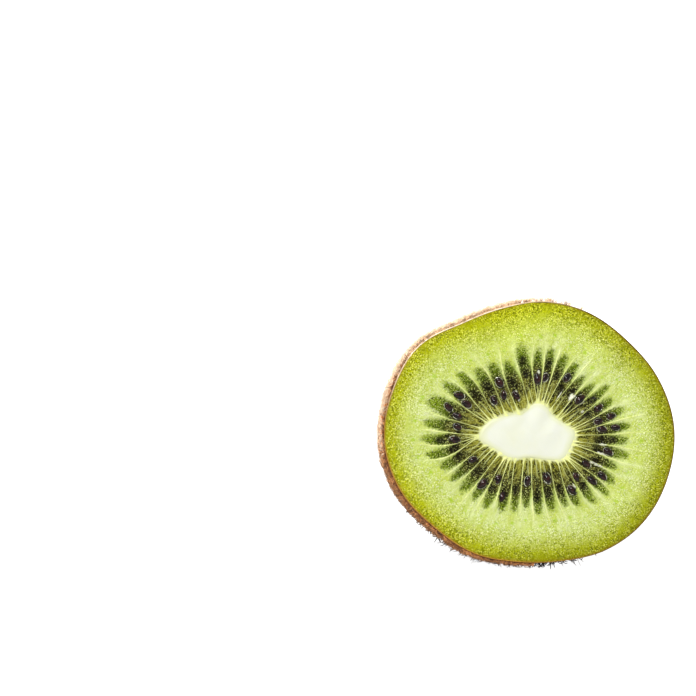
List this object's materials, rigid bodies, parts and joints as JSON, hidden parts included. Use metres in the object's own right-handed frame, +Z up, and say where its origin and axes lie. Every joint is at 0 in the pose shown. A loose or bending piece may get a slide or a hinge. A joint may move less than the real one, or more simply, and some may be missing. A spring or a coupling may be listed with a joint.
{
  "type": "kiwi fruit half",
  "caption": "Green kiwi fruit cut across its middle, lying on its furry brown skin with the cut face looking out and a little up.",
  "frame": {"origin": "middle of the object's box, at the height of the flat spot that it rests on", "axes": "+X to the right along the cut face, +Y from the cut face back towards the far end, +Z up; the fruit leans back 18 degrees, so the cut face looks towards -Y and a little up"},
  "size_m": [0.0546, 0.0408, 0.0477],
  "materials": {
    "flesh": "moist green fruit flesh, glossy where wet",
    "seed_ring": "moist dark green flesh around the seeds, glossy where wet",
    "core": "smooth, moist creamy white core",
    "skin": "dull brown skin with short pale hairs",
    "seeds": "shiny, nearly black"
  },
  "bodies": {
    "root": {"flesh": "flesh", "seed_ring": "seed_ring", "core": "core"}
  },
  "joints": []
}
